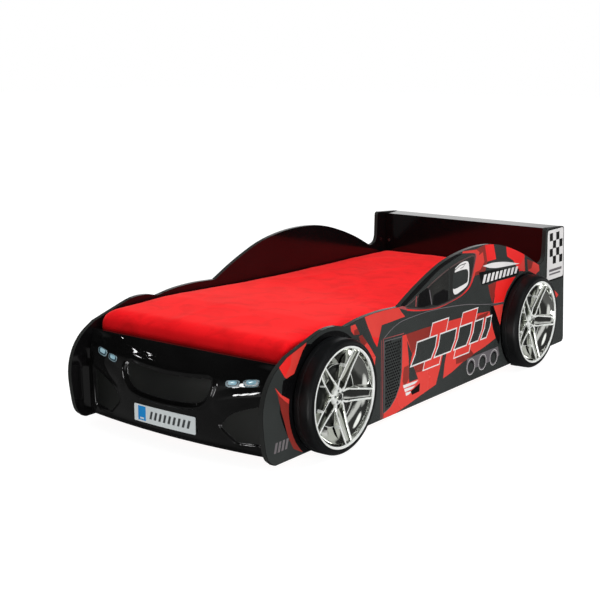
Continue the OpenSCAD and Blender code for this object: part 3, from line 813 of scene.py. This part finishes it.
def bumper_rows():
    """The bumper's rows, evenly spaced from the top flange's back edge down the face."""
    face = catmull(BUMPER_FACE, 12)
    flange = [np.array([335.0, s, 0.0]) for s in np.linspace(BUMPER_BACK, 121, 6)]
    line = flange + face
    at = np.r_[0, np.cumsum([np.linalg.norm((b - a)[:2]) for a, b in zip(line, line[1:])])]
    even = np.linspace(0, at[-1], int(at[-1] / GRID) + 1)
    return np.array([[np.interp(t, at, [p[k] for p in line]) for k in range(3)] for t in even])


def bumper_station(x, height):
    """Station of the bumper's outer face under its moulded relief."""
    rows = np.array(catmull(BUMPER_FACE, 12))[::-1]
    end = np.interp(height, rows[:, 0], rows[:, 1])
    bow = np.interp(height, rows[:, 0], rows[:, 2])
    return end - bow * (1 - (x / BUMPER_HALF) ** 2)


def bumper_relief(x, z):
    """How far the moulding stands out from the plain face, in millimetres."""
    # The grille is sunk, with a raised lip round it below the bonnet.
    g = distance(np.c_[x, z], GRILLE)
    relief = -9 * (1 - step(g, -4, 3))
    relief += 7 * (1 - step(z, 236, 262)) * step(g, 1, 8) * (1 - step(g, 10, 20))
    for m in (1, -1):
        # Each fog lamp's pocket is sunk, with a low lip and a brow over it.
        f = distance(np.c_[x * m, z], FOG)
        relief -= 4 * (1 - step(f, -3, 2))
        relief += 1.2 * step(f, 0, 3) * (1 - step(f, 4, 12))
        brow = distance(np.c_[x * m, z], BROW)
        relief += 6 * (1 - step(brow, 0, 44)) * step(g, 10, 30) * step(f, 0, 12)
    # The bonnet falls away towards its outer corners.
    relief -= 7 * step(np.abs(x), 190, BUMPER_HALF) * step(z, 262, 300) * (1 - step(z, 316, 335))
    # The ends stand forward beside the fog lamps' pockets.
    low = step(z, 10, 30) * (1 - step(z, 188, 226))
    relief += 6 * step(np.abs(x), 392, 424) * low
    return relief


def bumper():
    """The moulding as a grid of points, pushed out by its relief and closed at its wall."""
    rows = bumper_rows()
    xs = np.linspace(-BUMPER_HALF, BUMPER_HALF, int(2 * BUMPER_HALF / GRID) + 1)
    x, z = np.meshgrid(xs, rows[:, 0], indexing="ij")
    s = rows[None, :, 1] - rows[None, :, 2] * (1 - (x / BUMPER_HALF) ** 2)
    base = np.stack([x, s, z + 0 * x], -1)
    du, dv = np.gradient(base, axis=0), np.gradient(base, axis=1)
    normal = np.cross(dv, du)
    normal /= np.linalg.norm(normal, axis=2)[..., None]
    if normal[len(xs) // 2, len(rows) // 2, 1] > 0:
        normal = -normal
    relief = bumper_relief(x.ravel(), z.ravel()).reshape(x.shape)
    relief[:, :FLANGE_ROWS] = 0
    outer = base + relief[..., None] * normal
    inner = outer - WALL * normal
    both = np.r_[outer.reshape(-1, 3), inner.reshape(-1, 3)]
    points = [(p[0] * MM, along(p[1]), up(p[2])) for p in both]
    nx, nz = x.shape
    n = nx * nz
    flat = np.c_[x.ravel(), z.ravel()]
    grille = distance(flat, GRILLE)
    fog = np.minimum(distance(flat, FOG), distance(flat * (-1, 1), FOG))
    faces, slots = [], []
    for i in range(nx - 1):
        for j in range(nz - 1):
            a, b, c, d = i * nz + j, (i + 1) * nz + j, (i + 1) * nz + j + 1, i * nz + j + 1
            faces += [(a, d, c, b), (a + n, b + n, c + n, d + n)]
            satin = max(grille[a], grille[c]) < -5 or max(fog[a], fog[c]) < -4
            slots += [1 if satin else 0, 0]
    rim = open_edges(faces[::2])
    faces += [(b, a, a + n, b + n) for a, b in rim]
    slots += [0] * len(rim)
    obj = piece("bumper_moulding", points, faces, [MOULDED_BLACK, RECESS_BLACK], slots,
                sharp=60)
    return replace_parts(obj, "front_bumper")


bumper()

# ---- Licence plate and headlights ----

PLATE_LOW, PLATE_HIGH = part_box("licence_plate")


def licence_plate():
    """A rounded white plate with a blue band and plain slanted bars."""
    half = (PLATE_HIGH.x - PLATE_LOW.x) / 2 / MM
    low, high = (PLATE_LOW.z - BOARD_LOW.z) / MM, (PLATE_HIGH.z - BOARD_LOW.z) / MM
    middle = (low + high) / 2
    r, thickness, behind_face, bow = 5, 2.0, 3.0, 4.5
    bars, bar_step, bar_width, bar_half = 9, 22.5, 11, 15
    outline = (arc((half - r, low + r), r, -90, 0, 4) + arc((half - r, high - r), r, 0, 90, 4)
               + arc((-half + r, high - r), r, 90, 180, 4)
               + arc((-half + r, low + r), r, 180, 270, 4))

    def block(left, right, bottom, top):
        return slanted(-half + left, -half + right, bottom, top, 0)

    white, blue, ink = range(3)
    decals = [(blue, block(20, 60, low + 6, high - 5)),
              (white, block(30, 50, low + 11, low + 17))]
    for k in range(bars):
        start = -half + 78 + bar_step * k
        decals.append(
            (ink, slanted(start, start + bar_width, middle - bar_half, middle + bar_half, 8)))
    lines = [((x, low - 1), (x, high + 1)) for x in np.linspace(-half, half, 21)[1:-1]]
    flat, faces, slots = printed_sheet(outline, decals, lines)
    front = bumper_station(0, middle) - behind_face

    def place(x, z, depth):
        return (x * MM, along(front + bow * (x / half) ** 2 + depth), up(z))

    points, solid, numbers = sheet_solid(flat, faces, slots, place, thickness)
    obj = piece("licence_plate_printed", points, solid, [PLATE_WHITE, PLATE_BLUE, PLATE_INK],
                numbers, sharp=30)
    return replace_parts(obj, "licence_plate")


licence_plate()


# Each lens: its middle across and up, its width and height, and how much it rises outwards.
LENSES = ((361, 267, 58, 25, 0.12), (291, 258, 52, 23, 0.10))
# Its outline, rim and dome: a material, whether the solid is closed on itself, and rings by
# their scale across, their scale upwards and their height over the bumper.
DOME, RIM, OUTLINE = range(3)
LENS_SOLIDS = (
    (OUTLINE, True, ((1, 1, 0.2), (1, 1, 2.4), (0.97, 0.95, 3.2), (0.87, 0.8, 3.2),
                     (0.85, 0.78, 0.2))),
    (RIM, True, ((0.85, 0.78, 0.2), (0.85, 0.78, 2.4), (0.64, 0.6, 2.2), (0.64, 0.6, 0.2))),
    (DOME, False, ((0.64, 0.6, 0.4), (0.64, 0.6, 2.4), (0.56, 0.5, 3.4), (0.4, 0.34, 3.9),
                   (0.2, 0.14, 4.2), (0.05, 0.04, 4.2))))


def lens_ring(side, lens, scale_w, scale_h, rise):
    """One ring of a lens: a rounded box on the bumper's face."""
    centre_x, centre_z, width, tall, tilt = lens
    steps, squareness = 40, 2 / 3.4
    out = []
    for k in range(steps):
        c, s = math.cos(2 * math.pi * k / steps), math.sin(2 * math.pi * k / steps)
        u = abs(c) ** squareness * math.copysign(1, c) * width / 2 * scale_w
        v = abs(s) ** squareness * math.copysign(1, s) * tall / 2 * scale_h
        u *= 1 + 0.10 * v / (tall / 2)
        x, z = centre_x + u, centre_z + v + u * tilt + (1 - scale_h) * tall * 0.34
        out.append((side * x * MM, along(bumper_station(x, z) - rise), up(z)))
    return out


def headlight(name, side, node):
    """Two domed lenses, each in a raised rim."""
    shape = Shape()
    for lens in LENSES:
        for number, closed, rings in LENS_SOLIDS:
            shape.ring_solid([lens_ring(side, lens, *r) for r in rings], number, closed)
    obj = piece(name, shape.points, shape.faces, [LENS, LENS_RIM, LENS_LINE], shape.slots,
                sharp=50)
    tidy_normals(obj)
    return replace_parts(obj, node)


headlight("headlight_pair_left", 1, "headlight_left")
headlight("headlight_pair_right", -1, "headlight_right")

# ---- Wheel covers ----
# Profiles are pairs of radius and distance out from the printed film.

TYRE_PROFILE = (
    [(178, 0.5), (204, 0.5), (208.5, 4), (209, 10), (209, 22), (207.6, 23.5), (207.6, 26),
     (209, 27.5), (209, 44), (208.4, 50)]
    + arc((188.5, 54.5), 20, 8, 52, 6) + [(200.2, 71.4), (199.2, 72.6), (197.6, 72.9)]
    + [(196.2, 72.2), (195.0, 72.6), (191, 74.2), (187.5, 74.9), (184.6, 74.6), (184.4, 70.4),
       (178, 70.2)])
RIM_PROFILE = (
    [(177.4, 62.2), (177.4, 70.6), (183.8, 70.6), (184, 74.2), (182.6, 75), (178.4, 75),
     (176.6, 73.8), (175, 70)]
    + catmull([(173.6, 64), (169, 52), (158, 41), (142, 33), (126, 28.5)], 4)
    + [(118, 27.0), (114, 27.6), (112, 26.4), (111, 22.5), (111, 20.5), (160, 20.5),
       (172, 50)])
DISC_PROFILE = [(112, 20.0), (112, 22.0), (110, 24.0), (104, 24.4), (102, 22.8), (99, 22.8),
                (97, 24.4), (66, 24.4), (62, 23.0), (58, 22.4), (30, 22.4), (30, 20.0)]
HUB_PROFILE = [(0, 20.5), (34, 20.5), (34, 34), (31, 41), (27, 43.6), (25.5, 44.2), (0, 44.2)]
SPOKE_TURN = -8


def lathe(shape, profile, place, segments, slot=0):
    """The profile turned once round the axle."""
    rings = []
    for k in range(segments):
        a = 2 * math.pi * k / segments
        rings.append([place(r * math.cos(a), r * math.sin(a), d) for r, d in profile])
    shape.ring_solid(rings, slot, closed=True)


def spoke_height(r):
    """Distance of a spoke's crest out from the film."""
    return float(np.interp(r, [20, 34, 60, 120, 172, 178], [43, 46.5, 47, 57, 69.5, 71]))


def spoke_pair(shape, place, angle):
    """A double spoke: two ridges, and the floor between them."""
    c, s = math.cos(math.radians(angle)), math.sin(math.radians(angle))

    def at(r, w, d):
        return place(r * c - w * s, r * s + w * c, d)

    for m in (1, -1):
        path = catmull([(20, 13.5), (38, 20.5), (60, 22.5), (115, 19.8), (175.5, 16.8)], 5)
        rings = []
        for r, w in path:
            top = spoke_height(r)
            half = 3.8 if r < 60 else 3.8 - 0.4 * (r - 60) / 115
            low = max(22.5, top - 24)
            section = [(-half - 3.4, low), (-half - 1.2, top - 6), (-half, top - 2.2),
                       (-half * 0.55, top - 0.5), (0, top), (half * 0.55, top - 0.5),
                       (half, top - 2.2), (half + 0.8, top - 6), (half + 1.6, low)]
            rings.append([at(r, m * (w - u), d) for u, d in section])
        shape.ring_solid(rings, 0)
    floor_path = [(58, 23.6), (84, 34), (120, 44), (175, 60.5)]
    rings = []
    for r, d in catmull(floor_path, 4):
        w = float(np.interp(r, [58, 115, 175], [19, 16.5, 13.5]))
        rings.append([at(r, -w, d + 1.0), at(r, -w * 0.6, d), at(r, w * 0.6, d),
                      at(r, w, d + 1.0), at(r, w, d - 5), at(r, -w, d - 5)])
    shape.ring_solid(rings, 0)


def painted_highlight_at(r, d):
    """Whether a point of the rim is on a spoke's crest, the outer lip, the ring or the hub, the
    places that carry the near-white painted highlight.
    """
    crest = 36 < r < 176 and d > spoke_height(r) - 1.8
    lip = r > 175.5 and d > 71
    ring = 111.5 < r < 114.5
    hub = r < 40 and d > 34
    return crest or lip or ring or hub


def wheel(corner, side, station):
    """One wheel cover: the tyre, and the rim with its disc, hub and spokes."""
    # The last slot holds the near-white painted highlight.
    chrome, disc, hollow, edge = range(4)

    def place(u, v, d):
        return (side * (FILM_HIGH.x + d * MM), along(station) + u * MM, up(AXLE_HEIGHT) + v * MM)

    tyre = Shape()
    lathe(tyre, TYRE_PROFILE, place, 144)
    obj = piece(f"tyre_cover_{corner}", tyre.points, tyre.faces, [TYRE_BLACK])
    tidy_normals(obj)
    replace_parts(obj, f"tyre_{corner}")
    rim = Shape()
    lathe(rim, RIM_PROFILE, place, 144)
    lathe(rim, DISC_PROFILE, place, 96, disc)
    lathe(rim, [(31, 20.2), (31, 22.0), (0.5, 22.0), (0.5, 20.2)], place, 32, hollow)
    lathe(rim, [(max(r, 0.3), d) for r, d in HUB_PROFILE], place, 48)
    for k in range(5):
        spoke_pair(rim, place, SPOKE_TURN + 72 * k)
    # Faces on the spokes' crests, the lip, the ring and the hub take the painted highlight.
    for i, face in enumerate(rim.faces):
        x, y, z = np.mean([rim.points[v] for v in face], axis=0)
        r = math.hypot(y - along(station), z - up(AXLE_HEIGHT)) / MM
        if rim.slots[i] == chrome and painted_highlight_at(r, (abs(x) - FILM_HIGH.x) / MM):
            rim.slots[i] = edge
    obj = piece(f"rim_cover_{corner}", rim.points, rim.faces,
                [CHROME, DISC_STEEL, HOLLOW_BLACK, CHROME_PAINTED_HIGHLIGHT], rim.slots)
    tidy_normals(obj)
    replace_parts(obj, f"rim_{corner}")


for end, station in (("front", FRONT_AXLE), ("rear", REAR_AXLE)):
    wheel(f"{end}_left", 1, station)
    wheel(f"{end}_right", -1, station)

# ---- Mattress ----

VOXEL = 0.011
SWELL = 0.006
CLOTH_FRAMES = 20
CLOTH = {
    "quality": 5, "mass": 0.4, "tension_stiffness": 25, "compression_stiffness": 25,
    "shear_stiffness": 12, "bending_stiffness": 1.2, "use_pressure": True,
    "uniform_pressure_force": 4.0,
}
# How far the mattress's top stands over or under its CAD level: stations, millimetres.
TOP_LEVEL = ((136, 220, 330, 480, 620, 800, 1000, 1200, 1500, 1900, 2136),
             (13, 14, 16, 21, 16, 10, 1, -2, -4.5, -5, -7))


def evaluated(obj):
    """A plain copy of the object's mesh with its modifiers applied."""
    graph = bpy.context.evaluated_depsgraph_get()
    graph.update()
    return bpy.data.meshes.new_from_object(obj.evaluated_get(graph))


def positions(mesh):
    co = np.zeros(len(mesh.vertices) * 3)
    mesh.vertices.foreach_get("co", co)
    return co.reshape(-1, 3)


def swelling(obj, rest):
    """How far cloth pressure moves each point of the mattress, up to SWELL."""
    cloth = obj.modifiers.new("cloth", "CLOTH")
    for key, value in CLOTH.items():
        setattr(cloth.settings, key, value)
    cloth.settings.effector_weights.gravity = 0
    for f in range(1, CLOTH_FRAMES + 1):
        SCENE.frame_set(f)
    swollen = evaluated(obj)
    obj.modifiers.clear()
    moved = positions(swollen) - rest
    bpy.data.meshes.remove(swollen)
    SCENE.frame_set(1)
    reach = np.linalg.norm(moved, axis=1)[:, None]
    return moved * np.minimum(1, SWELL / np.maximum(reach, 1e-9))


def top_shape(co):
    """How far each point of the top lies over its CAD level, in millimetres: the front edge
    rolls off, and the top keeps a low crown with the cover's soft creases."""
    back = (co[:, 1] - MATTRESS_LOW.y) / MM
    drop = 60 * (1 - np.sqrt(1 - np.clip(1 - back / 88, 0, 1) ** 2.4))
    level = np.interp((co[:, 1] - BOARD_LOW.y) / MM, *TOP_LEVEL)
    across = 1 - (2 * co[:, 0] / (MATTRESS_HIGH - MATTRESS_LOW).x) ** 2
    crown = level + 3 * np.clip(across, 0, 1) * step(back, 60, 400)
    creases = np.array([
        noise.fractal(Vector((x * 2.2, y * 1.1, 3.7)), 1.0, 2.0, 4) for x, y, _ in co])
    folds = np.array([
        1 - abs(noise.noise(Vector((x * 3.1 + y * 0.8, y * 2.4 - x * 0.5, 9.1)))) * 2.2
        for x, y, _ in co])
    return crown - drop + 2.4 * creases + 1.8 * np.clip(folds, 0, 1) ** 3


def mattress():
    """A foam mattress in a velour cover: a rounded block that cloth pressure fills out."""
    low, high = MATTRESS_LOW, MATTRESS_HIGH
    inset, side_room, end_room, above_slats = 0.004, 0.0035, 0.001, 0.0003
    work = bmesh.new()
    bmesh.ops.create_cube(work, size=1.0)
    size, middle = high - low, (high + low) / 2
    for v in work.verts:
        v.co = Vector([v.co[k] * (size[k] - 2 * inset) + middle[k] for k in range(3)])
    mesh = bpy.data.meshes.new("mattress_start")
    work.to_mesh(mesh)
    work.free()
    obj = add_object("velour_mattress", mesh)
    bevel = obj.modifiers.new("round", "BEVEL")
    bevel.width, bevel.segments = 0.018, 5
    remesh = obj.modifiers.new("even", "REMESH")
    remesh.mode, remesh.voxel_size = "VOXEL", VOXEL
    obj.data = evaluated(obj)
    obj.modifiers.clear()
    co = positions(obj.data)
    co = co + swelling(obj, co)
    top = step(co[:, 2], middle.z - 0.01, high.z - 0.02)
    co[:, 2] += top * MM * top_shape(co)
    co[:, 2] = np.maximum(co[:, 2], low.z + above_slats)
    co[:, 0] = np.clip(co[:, 0], low.x - side_room, high.x + side_room)
    co[:, 1] = np.clip(co[:, 1], low.y - end_room, high.y + end_room)
    obj.data.vertices.foreach_set("co", co.ravel())
    obj.data.update()
    obj.data.materials.clear()
    obj.data.materials.append(VELOUR)
    obj.data.polygons.foreach_set("use_smooth", [True] * len(obj.data.polygons))
    smooth = obj.modifiers.new("smooth", "SUBSURF")
    smooth.levels = smooth.render_levels = 1
    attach(obj, SOFT)
    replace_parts(obj, "mattress_core", "mattress_cover")


mattress()
